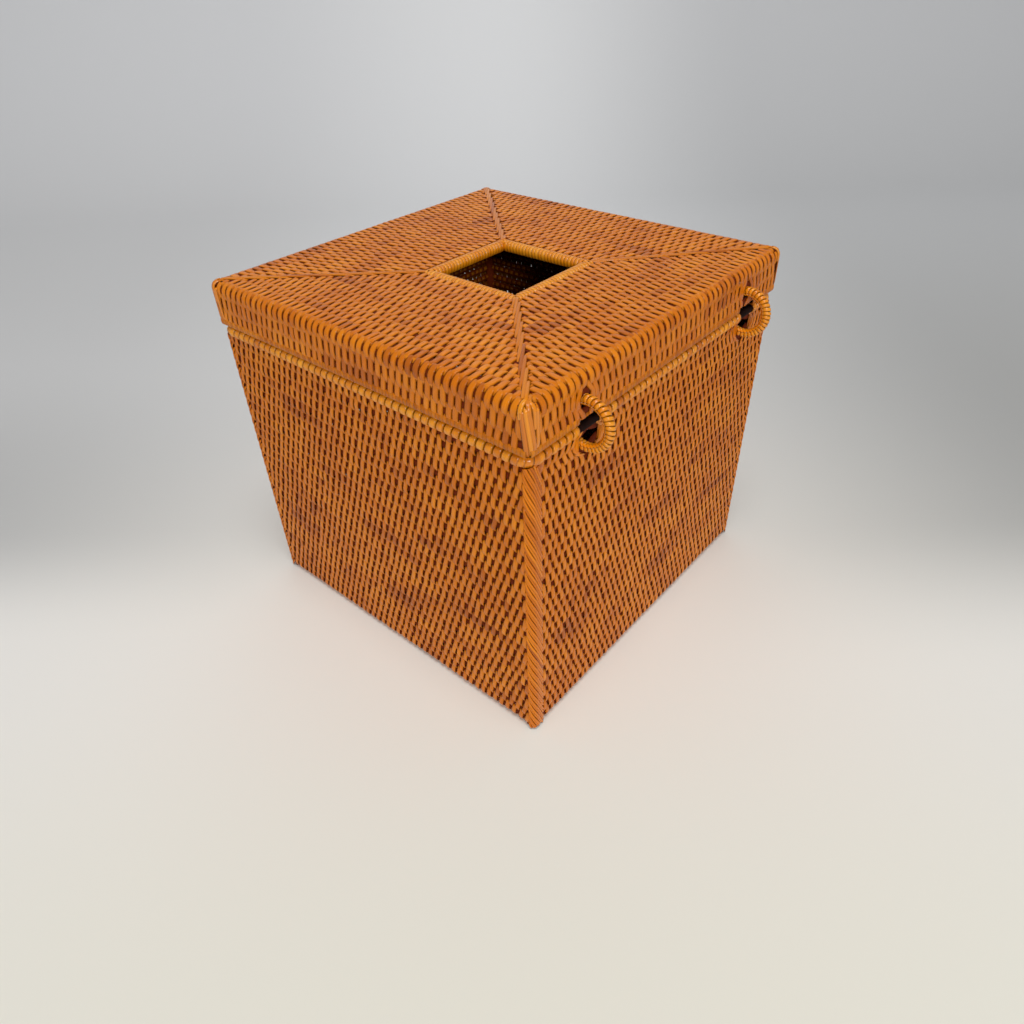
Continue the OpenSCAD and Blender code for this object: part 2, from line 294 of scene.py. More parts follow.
# %% [markdown]
# ## The stitch
# A strand goes over one rod and behind the next one, and its neighbours do the
# opposite. A relief drawn on flat walls would show the same squares, but no
# gaps, so every strand here is really there. Working the strands in a flat sheet
# and folding that sheet afterwards keeps one rule for walls, lid and bottom: X
# runs along the rows, Y along the strands, Z outwards. Two small groups are
# shared by strands and rods so that they stay together: one makes the rows
# uneven, the other opens the weave where a ring goes through.

# %% Uneven rows, and the gap where a ring goes through
GEO, NUM, INT, VEC, MAT = ("NodeSocketGeometry", "NodeSocketFloat", "NodeSocketInt",
                           "NodeSocketVector", "NodeSocketMaterial")
ROW_WAVES_PER_METRE = 30.0  # how quickly a row wanders along its length
ROW_STEP = 0.83  # through the noise, from one row to the next
SIDEWAYS_REACH = 1.6  # how far strands give way, in half gaps
UPWARD_REACH = 0.95  # and rods
PUSH_FADE = 4.2 * MM  # how far away the push is still felt


def group(name, inputs, outputs):
    """An empty node group with named inputs and outputs, and its inputs as nodes."""
    tree = bpy.data.node_groups.new(name, "GeometryNodeTree")
    for title, kind, value in inputs:
        socket = tree.interface.new_socket(title, in_out="INPUT", socket_type=kind)
        if value is not None:
            socket.default_value = value
    for title, kind in outputs:
        tree.interface.new_socket(title, in_out="OUTPUT", socket_type=kind)
    return tree, Made(tree, tree.nodes.new("NodeGroupInput"))


def numbers(*titles):
    """Group inputs that are plain numbers."""
    return [(title, NUM, 0.0) for title in titles]


def use(t, shared, **inputs):
    """A shared group, with its inputs by name; a space in a name is written as _."""
    return add(t, "GeometryNodeGroup", {
        title.replace("_", " "): value for title, value in inputs.items()}, node_tree=shared)


def make_unevenness():
    """Shift a point along the strand by the unevenness of its row."""
    t, given = group("uneven rows", numbers("X", "Rows", "Amount", "Seed"), [("Shift", NUM)])
    wander = noise(t, vector(t, given["X"] * ROW_WAVES_PER_METRE, given["Rows"] * ROW_STEP,
                             given["Seed"]), 1.0)
    add(t, "NodeGroupOutput", {0: (wander - 0.5) * given["Amount"]})
    return t


def make_ring_gap():
    """Push strands sideways and rods apart round the two holes for the rings."""
    t, given = group("ring gap", numbers("X", "V", "Gap X", "Gap V", "Half Gap", "Gap Aside"),
                     [("X", NUM), ("V", NUM)])
    # Both gaps may reach further to one side of their rings than to the other.
    aside = given["X"] + given["Gap Aside"]
    from_hole = aside.do("ABSOLUTE") - given["Gap X"]
    below = given["V"] - given["Gap V"]
    moved = []
    for here, other, reach in ((from_hole, below, SIDEWAYS_REACH),
                               (below, from_hole, UPWARD_REACH)):
        # The push fades like a bell away from the hole in the other direction.
        far = other / PUSH_FADE
        push = given["Half Gap"] * (far * far * -1.0).do("EXPONENT") * reach
        moved.append((here * here + push * push).do("SQRT") * here.do("SIGN"))
    x = (moved[0] + given["Gap X"]) * aside.do("SIGN") - given["Gap Aside"]
    add(t, "NodeGroupOutput", {0: x, 1: moved[1] + given["Gap V"]})
    return t


uneven_rows = make_unevenness()
ring_gap = make_ring_gap()

# %% [markdown]
# Folding comes last. Up to the bend the sheet is flat, then it goes round an
# arc of a quarter turn, and then straight down. The same group gives the strand
# at its height and the rod at none.

# %% Fold the flat sheet round its edge
def make_fold():
    """Fold a flat sheet down round an arc: V and height in, Y and Z out."""
    t, given = group("fold", numbers("V", "Height", "Bend Start", "Bend Radius"),
                     [("Y", NUM), ("Z", NUM), ("Flat", NUM), ("Outward", VEC)])
    radius = given["Bend Radius"]
    past = given["V"] - given["Bend Start"]
    turn = add(t, "ShaderNodeClamp", {"Value": past / radius, "Min": 0.0, "Max": math.pi / 2})
    straight = (past - radius * (math.pi / 2)).do("MAXIMUM", 0.0)
    flat = given["V"].do("MINIMUM", given["Bend Start"])
    reach = radius + given["Height"]
    sine, cosine = turn.do("SINE"), turn.do("COSINE")
    add(t, "NodeGroupOutput", {0: reach * sine + flat, 1: reach * cosine - (radius + straight),
                               2: radius * sine + flat, 3: vector(t, 0.0, sine, cosine)})
    return t


fold = make_fold()

# %% [markdown]
# ## The sheet of weave
# One tree makes the strands and one the rods. A line of points carries one
# straight strand each; every point on it is then moved by the rule above.
# Panels of the lid are trapezoids, so points outside two slanted limits go.

# %% What both trees of a woven sheet share
SHEET_SIZES = [
    ("Rows", NUM, 28.0), ("Row Height", NUM, 4.65 * MM), ("Rod Count", INT, 28),
    ("Even Rows", NUM, 100.0), ("Edge Row Height", NUM, 4.65 * MM),
    ("Strands", INT, 88), ("Strand Pitch", NUM, 1.75 * MM), ("Strand Width", NUM, 2.45 * MM),
    ("Strand Thickness", NUM, 0.55 * MM), ("Relief", NUM, 1.1 * MM),
    ("Rod Thickness", NUM, 1.3 * MM), ("Rod Height", NUM, 3.6 * MM),
    ("Unevenness", NUM, 2.0 * MM), ("Lean", NUM, 0.0), ("Lean Past Bend", NUM, 0.0),
    ("Bend Start", NUM, 1.0), ("Bend Radius", NUM, 1.4 * MM),
    ("Left Limit", NUM, -1.0), ("Left Slope", NUM, 0.0), ("Right Limit", NUM, 1.0),
    ("Right Slope", NUM, 0.0), ("Gap X", NUM, RING_X), ("Gap V", NUM, 0.0),
    ("Half Gap", NUM, 0.0), ("Gap Aside", NUM, 0.0), ("Points Per Row", INT, 6),
    ("Seed", NUM, 0.0), ("Material", MAT, None)]


def along_strand(given, rows):
    """How far along the strand a number of rows reaches: rows near an edge may be taller."""
    even = rows.do("MINIMUM", given["Even Rows"]) * given["Row Height"]
    over = (rows - given["Even Rows"]).do("MAXIMUM", 0.0)
    return over * given["Edge Row Height"] + even


def slanted_limits(given, flat):
    """Where the sheet ends on its left and on its right, at a distance along it."""
    return [flat * given[f"{edge} Slope"] + given[f"{edge} Limit"] for edge in ("Left", "Right")]


def opened_and_folded(t, given, x, v, height=0.0):
    """A point of the flat sheet after the ring gaps and the fold."""
    opened = use(t, ring_gap, X=x, V=v, Gap_X=given["Gap X"], Gap_V=given["Gap V"],
                 Half_Gap=given["Half Gap"], Gap_Aside=given["Gap Aside"])
    return opened, use(t, fold, V=opened["V"], Height=height,
                       Bend_Start=given["Bend Start"], Bend_Radius=given["Bend Radius"])


def store(t, geometry, title, value, kind="FLOAT"):
    """Write a value on every point, for the material or for a later step."""
    return add(t, "GeometryNodeStoreNamedAttribute", {
        "Geometry": geometry, "Name": title, "Value": value}, data_type=kind, domain="POINT")


def stored(t, title, kind="FLOAT"):
    """Read back a value that was written on the points."""
    return add(t, "GeometryNodeInputNamedAttribute", {"Name": title}, data_type=kind)


def sweep_oval(t, given, curves, broadside, oval):
    """Sweep an oval along centre lines; broadside is where its X points. Ends the tree."""
    curves = add(t, "GeometryNodeSetCurveNormal", {"Curve": curves, "Normal": broadside},
                 mode="FREE")
    skin = add(t, "GeometryNodeCurveToMesh", {"Curve": curves, "Profile Curve": oval,
                                              "Fill Caps": True})
    skin = add(t, "GeometryNodeSetShadeSmooth", {"Geometry": skin})
    skin = add(t, "GeometryNodeRealizeInstances", {0: skin})
    skin = add(t, "GeometryNodeSetMaterial", {"Geometry": skin, "Material": given["Material"]})
    add(t, "NodeGroupOutput", {0: skin})
    return t


def circle(t, sides, radius):
    """A circle to sweep, as a polygon with few sides."""
    return add(t, "GeometryNodeCurvePrimitiveCircle", {"Resolution": sides, "Radius": radius},
               mode="RADIUS")


def lines_on_points(t, count, start, step, line):
    """The same line on each of a row of points, as lines of their own."""
    points = add(t, "GeometryNodeMeshLine", {
        "Count": count, "Start Location": start, "Offset": step}, mode="OFFSET")
    return add(t, "GeometryNodeRealizeInstances", {0: add(
        t, "GeometryNodeInstanceOnPoints", {"Points": points, "Instance": line})})


# %% [markdown]
# The strand's height and width follow curves drawn over one wave, which is two
# rows: it dives steeply at the start, comes up, and lies almost flat for the
# rest. It is narrow where it bends and broad where it lies flat, and no two
# strands lie quite alike.

# %% Strands
# Along one wave: how far out the strand lies (0 behind, 1 in front) and how wide.
STITCH_HEIGHT = (0.78, 0.40, 0.0, 0.34, 0.80, 0.88, 0.93, 0.97, 1.0, 1.0, 0.95, 0.88, 0.76)
STITCH_WIDTH = (0.96, 0.90, 0.86, 0.84, 0.90, 0.93, 0.85, 0.80, 0.84, 0.95, 1.03, 1.02, 0.96)
STITCH_FRONT = 2 / 3  # where in a wave the strand lies furthest out
PULLED_WIDTH = 0.82  # a strand pulled tight over the edge gets narrower
STRAND_WANDER = 1.3 * MM  # how far a strand strays to its sides
STRAND_STEP = 1.37  # through the noise, from one strand to the next
ALONG_STEP = 0.55  # and along a strand, from row to row


def drawn_curve(t, place, heights):
    """A curve drawn through evenly spaced heights."""
    made = add(t, "ShaderNodeFloatCurve", {"Value": place})
    points = made.node.mapping.curves[0].points
    while len(points) < len(heights):
        points.new(0.5, 0.5)
    for i, height in enumerate(heights):
        points[i].location = (i / (len(heights) - 1), height)
        points[i].handle_type = "AUTO_CLAMPED"
    made.node.mapping.update()
    return made


def straight_strands(t, given):
    """Straight strands side by side, centred, as long as the number of rows."""
    pitch, rows = given["Strand Pitch"], given["Rows"]
    strand = add(t, "GeometryNodeCurvePrimitiveLine", {"End": vector(t, 0.0, rows)})
    strand = add(t, "GeometryNodeResampleCurve", {
        "Curve": strand, "Count": rows * given["Points Per Row"] + 1.0})
    first = (given["Strands"] - 1.0) * -0.5 * pitch
    return lines_on_points(t, given["Strands"], vector(t, first), vector(t, pitch), strand)


def section_of_strand(t, given):
    """The flat oval of a strand, which remembers where it is across the strand."""
    noted = store(t, circle(t, 6, 1.0), "side", add(t, "GeometryNodeInputPosition"),
                  "FLOAT_VECTOR")
    return add(t, "GeometryNodeTransform", {"Geometry": noted, "Scale": vector(
        t, given["Strand Width"] * 0.5, given["Strand Thickness"] * 0.5, 1.0)})


def make_strands():
    """Strands that go over and behind the rods."""
    t, given = group("woven strands", SHEET_SIZES, [("Geometry", GEO)])
    laid = straight_strands(t, given)
    # Where each point is: along the row, along the strand, on which strand.
    number = add(t, "GeometryNodeCurveOfPoint")["Curve Index"]
    x, rows, _ = parts(t, add(t, "GeometryNodeInputPosition"))
    v = along_strand(given, rows)
    # A full wave takes two rows, and neighbours are half a wave apart.
    wave = ((rows + number) * 0.5).do("FRACT")
    relief = drawn_curve(t, wave, STITCH_HEIGHT) * 2.0 - 1.0
    chance = parts(t, noise(t, vector(t, number * STRAND_STEP, rows * ALONG_STEP,
                                      given["Seed"]), 0.0)["Color"])
    height = relief * given["Relief"] * rescale(t, chance[0], (0.2, 0.8), (0.84, 1.08))
    # A stitch leans: it steps aside as it passes over its rod, and back behind the next.
    turned = v.do("GREATER_THAN", given["Bend Start"])
    lean = rescale(t, turned, (0.0, 1.0), (given["Lean"], given["Lean Past Bend"]))
    swing = (wave * math.tau - math.tau * STITCH_FRONT).do("SINE")
    x_wander = (chance[1] - 0.5) * STRAND_WANDER + (swing * lean + x)
    width = drawn_curve(t, wave, STITCH_WIDTH) * rescale(
        t, chance[2], (0.25, 0.75), (0.84, 1.12)) * rescale(
        t, turned, (0.0, 1.0), (1.0, PULLED_WIDTH))
    shift = use(t, uneven_rows, X=x, Rows=rows, Seed=given["Seed"], Amount=given["Unevenness"])
    opened, folded = opened_and_folded(t, given, x_wander, v + shift, height)
    left, right = slanted_limits(given, folded["Flat"])
    outside = x.do("GREATER_THAN", right) + x.do("LESS_THAN", left)
    # What depends on the flat places is written down before the points move.
    noted = store(t, laid, "weave", vector(t, x * (1 / MM), rows, number), "FLOAT_VECTOR")
    noted = store(t, noted, "relief", relief)
    noted = store(t, noted, "outside", outside)
    noted = add(t, "GeometryNodeSetCurveRadius", {"Curve": noted, "Radius": width})
    moved = add(t, "GeometryNodeSetPosition", {
        "Geometry": noted, "Position": vector(t, opened["X"], folded["Y"], folded["Z"])})
    kept = add(t, "GeometryNodeDeleteGeometry", {
        "Geometry": moved, "Selection": stored(t, "outside").do("GREATER_THAN", 0.5)},
        domain="POINT")
    return sweep_oval(t, given, kept, (1.0, 0.0, 0.0), section_of_strand(t, given))


strands_tree = make_strands()
print("strand tree:", len(strands_tree.nodes), "nodes")

# %% [markdown]
# The rods lie where the strands of a row change sides. They are oval: pressed
# flat between the strands, and tall enough to close the weave.

# %% Rods
ROD_PLACE = 0.38  # share of its row at which a rod lies
ROD_POINTS = 72


def make_rods():
    """Rods in the middle of the sheet, one for each row."""
    t, given = group("rods", SHEET_SIZES, [("Geometry", GEO)])
    rod = add(t, "GeometryNodeResampleCurve", {"Curve": add(
        t, "GeometryNodeCurvePrimitiveLine", {"End": (1.0, 0.0, 0.0)}), "Count": ROD_POINTS})
    laid = lines_on_points(t, given["Rod Count"], (0.0, 0.0, 0.0), (0.0, 1.0, 0.0), rod)
    # So far X is a share of the rod's length and Y the number of its row.
    share, row, _ = parts(t, add(t, "GeometryNodeInputPosition"))
    middle = row + ROD_PLACE
    v = along_strand(given, middle)
    flat = use(t, fold, V=v, Bend_Start=given["Bend Start"],
               Bend_Radius=given["Bend Radius"])["Flat"]
    x = rescale(t, share, (0.0, 1.0), slanted_limits(given, flat))
    shift = use(t, uneven_rows, X=x, Rows=middle, Seed=given["Seed"],
                Amount=given["Unevenness"])
    _, folded = opened_and_folded(t, given, x, v + shift)
    noted = store(t, laid, "outward", folded["Outward"], "FLOAT_VECTOR")
    moved = add(t, "GeometryNodeSetPosition", {
        "Geometry": noted, "Position": vector(t, x, folded["Y"], folded["Z"])})
    oval = add(t, "GeometryNodeTransform", {"Geometry": circle(t, 8, 0.5), "Scale": vector(
        t, given["Rod Thickness"], given["Rod Height"], 1.0)})
    return sweep_oval(t, given, moved, stored(t, "outward", "FLOAT_VECTOR"), oval)


rods_tree = make_rods()

# %% [markdown]
# ## From a tree to a piece
# A modifier could stay on its object, but then the tree would run again at each
# pose. So its inputs are set, it is evaluated once, and the result is copied to
# a plain mesh. The mesh is moved to its place on the basket and the object
# itself stays at the origin, where the bodies of the frame expect it.

# %% Grow a piece
def grow(name, tree, sizes, place, body, slot, replaces=(), seed_mesh=None):
    """Run a tree, keep its mesh, put it in place and let it ride on a body."""
    seedling = put(name, seed_mesh or bpy.data.meshes.new(name))
    modifier = seedling.modifiers.new("tree", "NODES")
    modifier.node_group = tree
    for item in tree.interface.items_tree:
        if item.item_type == "SOCKET" and item.in_out == "INPUT" and item.name in sizes:
            modifier[item.identifier] = sizes[item.name]
    graph = bpy.context.evaluated_depsgraph_get()
    graph.update()
    mesh = bpy.data.meshes.new_from_object(
        seedling.evaluated_get(graph), preserve_all_data_layers=True, depsgraph=graph)
    bpy.data.objects.remove(seedling)
    mesh.name = name
    mesh.transform(place)
    piece = put(name, mesh)
    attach(piece, body)
    if replaces:
        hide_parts(*replaces)
    print(name, len(mesh.vertices), "points", sum(len(p.vertices) - 2 for p in mesh.polygons),
          "triangles")


def weave_sheet(name, sizes, along, outward, origin, body, replaces):
    """A sheet of weave: strands in place of CAD nodes, and the rods inside them.

    The strands run along one direction from the origin, with their crests outward.
    """
    row = along.cross(outward).normalized()
    place = Matrix.Translation(origin) @ Matrix((row, along, outward)).transposed().to_4x4()
    grow(f"{name}_strands", strands_tree, {**sizes, "Material": woven_skin}, place, body,
         "woven_rattan", replaces)
    grow(f"{name}_rods", rods_tree, {**sizes, "Material": stained_and_shaded_rod}, place, body,
         "rattan_rod")


# %% [markdown]
# ## The four walls of the base
# Strands hang from the rim, cross 28 rods and turn under at the foot. Only the
# rear wall opens for the rings.

# %% Walls
WALL_ROWS = 28
WALL_ROW = WALL_TOP / WALL_ROWS
WALL_STRANDS = 90
WALL_LIMIT = 78.5 * MM  # where the corner bands take over
TUCK = 0.3  # share of a row that is tucked in under the rim
WALL_LEAN = {"front": 0.3 * MM, "right": 0.3 * MM, "rear": -0.1 * MM, "left": -0.1 * MM}
FOOT_BEND = 2.1 * MM  # radius of the turn under
FOOT_START = 3.8 * MM  # height at which it starts
WALL_GAP = {"Gap X": RING_X, "Gap Aside": 3.6 * MM, "Half Gap": 3.9 * MM}
WALL_GAP_HEIGHT = 125.0 * MM

for seed, (side, outward) in enumerate(SIDES.items()):
    top = WALL_TOP + TUCK * WALL_ROW
    sizes = {
        "Rows": WALL_ROWS + TUCK, "Row Height": WALL_ROW, "Rod Count": WALL_ROWS,
        "Strands": WALL_STRANDS, "Bend Start": top - FOOT_START, "Bend Radius": FOOT_BEND,
        "Left Limit": -WALL_LIMIT, "Right Limit": WALL_LIMIT,
        "Lean": WALL_LEAN[side], "Lean Past Bend": WALL_LEAN[side], "Seed": 3.0 + seed}
    if side == "rear":
        sizes.update(WALL_GAP)
        sizes["Gap V"] = top - WALL_GAP_HEIGHT
    weave_sheet(f"base_wall_{side}", sizes, -UP, outward, outward * WALL_MIDDLE + UP * top,
                "base", [f"base_wall_{side}"])

# %% [markdown]
# ## The lid, side by side
# Top and skirt could be two sheets with an edging between them, but the strands
# of the photograph run over the edge without a break. So each side is one sheet:
# it starts at the opening, runs to the edge, turns over it and hangs down as the
# skirt. Its rows are taller there, which gives the long bright stitches over the
# edge. The sheets meet at mitres, so their two slanted limits run from the
# opening's corners to the lid's corners.

# %% Lid
LID_ROWS = {"front": 12, "right": 11, "rear": 10, "left": 12}
LID_STRANDS = 97
LID_PITCH = 1.7 * MM
LID_BEND = 2.95 * MM
SKIRT_ROW = 5.5 * MM
SKIRT_ROWS = 3.75  # rows from the first tall one to the foot of the skirt
TALL_START = 3.45 * MM  # how far before the bend the first tall row starts
SEAM_MARGIN = 1.9 * MM
# How far the stitches lean on top and on the skirt.
LID_LEAN = {"front": (-0.25 * MM, 0.25 * MM), "right": (-0.25 * MM, 0.25 * MM),
            "rear": (0.25 * MM, -0.2 * MM), "left": (0.25 * MM, -0.2 * MM)}
LID_WEAVE = {"Strand Width": 2.9 * MM, "Relief": 0.7 * MM, "Rod Thickness": 1.1 * MM,
             "Rod Height": 3.0 * MM}
LID_GAP = {"Gap X": RING_X, "Gap Aside": 0.4 * MM, "Half Gap": 2.2 * MM}
LID_GAP_PAST_BEND = 11.6 * MM
opening_centre = Vector((*OPENING_CENTRE, 0.0))

for seed, (side, outward) in enumerate(SIDES.items()):
    start = opening_centre.dot(outward) + OPENING_HALF + OPENING_EDGE
    aside = opening_centre.dot(outward.cross(UP))
    bend = LID_MIDDLE - LID_BEND - start
    even = LID_ROWS[side]
    lean, skirt_lean = LID_LEAN[side]
    sizes = {
        "Rows": even + SKIRT_ROWS, "Row Height": (bend - TALL_START) / even,
        "Rod Count": even + math.ceil(SKIRT_ROWS), "Even Rows": float(even),
        "Edge Row Height": SKIRT_ROW, "Strands": LID_STRANDS, "Strand Pitch": LID_PITCH,
        "Bend Start": bend, "Bend Radius": LID_BEND, "Lean": lean,
        "Lean Past Bend": skirt_lean, "Seed": 11.0 + seed, **LID_WEAVE}
    if side == "rear":
        sizes.update(LID_GAP)
        sizes["Gap V"] = bend + LID_GAP_PAST_BEND
    for edge, sign in (("Left", -1.0), ("Right", 1.0)):
        inner = aside + sign * (OPENING_HALF + OPENING_EDGE)
        sizes[f"{edge} Limit"] = inner - sign * SEAM_MARGIN
        sizes[f"{edge} Slope"] = (sign * LID_FACE - inner) / (LID_FACE - start)
    weave_sheet(f"lid_{side}", sizes, outward, UP, outward * start + UP * (LID_TOP - LID_SKIN),
                "lid", [f"lid_panel_{side}", f"lid_skirt_{side}"])

# %% [markdown]
# ## The bottom
# Nothing shows of it in the photograph, so it is the plain weave of the walls.
# It reaches just behind the feet of the walls, so that no light comes in there.

# %% Bottom
BOTTOM_ROWS = 33.7
BOTTOM_HALF = 78.35 * MM
BOTTOM_LIMIT = 78.2 * MM
BOTTOM_MIDDLE = 1.75 * MM  # height of its rods

weave_sheet("base_bottom", {
    "Rows": BOTTOM_ROWS, "Rod Count": math.ceil(BOTTOM_ROWS), "Strands": WALL_STRANDS,
    "Left Limit": -BOTTOM_LIMIT, "Right Limit": BOTTOM_LIMIT, "Points Per Row": 4,
    "Seed": 21.0}, Vector((0, 1, 0)), -UP, Vector((0, -BOTTOM_HALF, BOTTOM_MIDDLE)),
    "base", ["base_bottom"])

# %% [markdown]
# ## Bindings and plaits
# Rims, rings, seams and corners are covered by strands that follow a path of
# their own. Each centre line is worked out as points, with the direction of the
# strand's width and how wide it is there, and one tree gives them all a body.

# %% Strands along paths
TONE_LENGTH = 20.0 * MM  # a long strand changes its fibres over this length


def make_path_strands():
    """Flat strands along given centre lines."""
    t, given = group("strands along paths", [
        ("Paths", GEO, None), ("Strand Width", NUM, 2.0 * MM),
        ("Strand Thickness", NUM, 0.6 * MM), ("Material", MAT, None)], [("Geometry", GEO)])
    curves = add(t, "GeometryNodeSetCurveRadius", {
        "Curve": add(t, "GeometryNodeMeshToCurve", {0: given["Paths"]}),
        "Radius": stored(t, "swell")})
    return sweep_oval(t, given, curves, stored(t, "across", "FLOAT_VECTOR"),
                      section_of_strand(t, given))


path_tree = make_path_strands()


def lay_strands(name, paths, width, thickness, body, slot, replaces=(), finish=wrapped_skin):
    """Lay strands along paths. A path is its stations, whether it is closed, and its
    (mm along the row, row); a station is (point, across, swell, relief)."""
    points, edges, across, swell, weave, relief = [], [], [], [], [], []
    for number, (path, closed, (along_row, row)) in enumerate(paths):
        first = len(points)
        length = 0.0
        for i, (point, sideways, wide, height) in enumerate(path):
            if i:
                length += (Vector(point) - Vector(path[i - 1][0])).length
                edges.append((first + i - 1, first + i))
            points.append(tuple(point))
            across.extend(sideways)
            swell.append(wide)
            relief.append(height)
            weave.extend((along_row, row + 0.3 + min(length / TONE_LENGTH, 0.5), float(number)))
        if closed:
            edges.append((len(points) - 1, first))
    mesh = bpy.data.meshes.new(name)
    mesh.from_pydata(points, edges, [])
    for title, kind, values, key in (("across", "FLOAT_VECTOR", across, "vector"),
                                     ("weave", "FLOAT_VECTOR", weave, "vector"),
                                     ("swell", "FLOAT", swell, "value"),
                                     ("relief", "FLOAT", relief, "value")):
        mesh.attributes.new(title, kind, "POINT").data.foreach_set(key, values)
    grow(name, path_tree, {"Strand Width": width, "Strand Thickness": thickness,
                           "Material": finish},
         Matrix.Identity(4), body, slot, replaces, mesh)


def round_steps(count):
    """The angles of a full turn in equal steps."""
    return [k / count * math.tau for k in range(count)]


def squared_off(value, power):
    """A sine or cosine that stays near its ends for longer: the loop gets squarer."""
    return math.copysign(abs(value) ** power, value)


def strip_turn(centre, along, out, up, size, powers=(1.0, 1.0), slant=(0.0, 0.0), fan=0.0,
               cut=-math.inf, relief=1.0, count=12):
    """One turn of a strip round a rod, as a loop. Its size is outwards and upwards,
    fan makes it wider outside, and cut is as far inwards as it may reach."""
    loop = []
    for a in round_steps(count):
        c, s = math.cos(a), math.sin(a)
        loop.append((centre + out * max(size[0] * squared_off(c, powers[0]), cut)
                     + up * size[1] * squared_off(s, powers[1])
                     + along * (slant[0] * c + slant[1] * s), along, 1.0 + fan * c, relief))
    return loop


def lay_straight(name, start, end, sideways, section, steps, body):
    """A straight dark rod behind other strands, which lets no light through."""
    path = [(start.lerp(end, k / steps), sideways.normalized(), 1.0, -1.0)
            for k in range(steps + 1)]
    lay_strands(name, [(path, False, (0.0, 0.0))], *section, body, "rattan_rod",
                finish=stained_and_shaded_rod)


def beside_ring(x):
    """How far a place is from the nearer ring, along the hinge."""
    return min(x - RING_X, x + RING_X, key=abs)


# %% [markdown]
# ## The wrapped rim
# A strip is wound round the rod on top of the walls, a turn every 3.5 mm. A
# winding is one long helix, but it would have to be cut at the rings. So each
# turn is a small loop across the rim's path, a little slanted as a winding is,
# and the turns that the rings need away are left out.

# %% Rim
RIM_TURN = 3.5 * MM
RIM_STRIP = (3.5 * MM, 1.05 * MM)  # its width and thickness
RIM_CORNER = 4.0 * MM
RIM_TUBE = 1.78 * MM  # from the rod's middle to the strip's middle
RIM_TUBE_BETWEEN = 1.6 * MM  # the same for the extra turns of a corner
RIM_FREE = (-8.6 * MM, 2.4 * MM)  # beside a ring, without turns
CORNER_FAN = 0.45  # how much wider a turn is on a corner's outside
RIM_SLANT = (0.25 * MM, 0.35 * MM)  # of a turn, from inside to outside and from foot to top


def rounded_square(half, corner, step):
    """Points and directions along a square with rounded corners, every step."""
    straight = 2 * (half - corner)
    arc = corner * math.pi / 2
    count = round(4 * (straight + arc) / step)
    count -= count % 8
    for i in range(count):
        # The first point lies in the middle of a corner.
        s = (i / count * 4 + 1) * (straight + arc) - arc / 2
        side, s = divmod(s, straight + arc)
        turn = Matrix.Rotation(side * math.pi / 2, 3, "Z")
        if s < straight:
            point, along = Vector((half, s - straight / 2, 0)), Vector((0, 1, 0))
        else:
            a = (s - straight) / corner
            point = Vector((half - corner + corner * math.cos(a),
                            half - corner + corner * math.sin(a), 0))
            along = Vector((-math.sin(a), math.cos(a), 0))
        yield turn @ point, turn @ along


rim_turns = []
for number, (point, along) in enumerate(rounded_square(RIM_LINE, RIM_CORNER, RIM_TURN / 2)):
    off_corner = abs(abs(point.x) - abs(point.y))
    # Every second step has a turn; at a corner one more lies between, a little deeper.
    between = number % 2
    if between and off_corner > 3.5 * MM:
        continue
    if point.y > RIM_LINE / 2 and RIM_FREE[0] < beside_ring(point.x) < RIM_FREE[1]:
        continue
    tube = RIM_TUBE_BETWEEN if between else RIM_TUBE
    # Round a corner a turn spreads like a fan.
    loop = strip_turn(point + UP * RIM_HEIGHT, along, along.cross(UP), UP, (tube, tube),
                      slant=RIM_SLANT, fan=CORNER_FAN if off_corner < 5.5 * MM else 0.0)
    rim_turns.append((loop, True, (number * RIM_TURN / 2 / MM, 40.0)))
lay_strands("rim_binding_turns", rim_turns, *RIM_STRIP, "base", "rattan_strip", ["rim_binding"])

# %% [markdown]
# ## The opening's edge
# The strands turn over the rod nearest the opening, close together, into a
# smooth band. Loops of a rounded section do that, cut back where two sides meet.

# %% Opening edge
EDGE_HALF = OPENING_EDGE / 2
EDGE_TURNS = 28
EDGE_DEPTH = 2.3 * MM  # its middle below the lid's top
EDGE_LOOP = (EDGE_HALF * 0.93, 1.95 * MM)  # from its middle to the strip's middle
EDGE_STRIP = (1.9 * MM, 0.7 * MM)

edge_turns = []
for number, (side, outward) in enumerate(SIDES.items()):
    row = outward.cross(UP)
    centre = opening_centre + outward * (OPENING_HALF + EDGE_HALF) + UP * (LID_TOP - EDGE_DEPTH)
    for i in range(EDGE_TURNS):
        x = (i - (EDGE_TURNS - 1) / 2) * LID_PITCH
        cut = max(0.0, abs(x) - OPENING_HALF)
        if cut > OPENING_EDGE - 0.8 * MM:
            continue
        loop = strip_turn(centre + row * x, -row, outward, UP, EDGE_LOOP, powers=(0.75, 0.8),
                          cut=cut - EDGE_HALF + 0.3 * MM)
        edge_turns.append((loop, True, (i * LID_PITCH / MM, 50.0 + number)))
lay_strands("lid_opening_edge_turns", edge_turns, *EDGE_STRIP, "lid", "woven_rattan",
            ["lid_opening_edge"])

# %% [markdown]
# ## The hem of the lid
# The skirt ends in a narrow smooth hem: the strands turn round its last rod close
# together. It is left out where the rings pass.

# %% Hem
HEM_TURNS = 95
HEM_HALF = 1.4 * MM  # half its height, and its middle's depth in the skirt
HEM_LOOP = (0.95 * MM, HEM_HALF * 0.86)
HEM_STRIP = (2.3 * MM, 0.6 * MM)
HEM_FREE = (-7.6 * MM, 3.4 * MM)

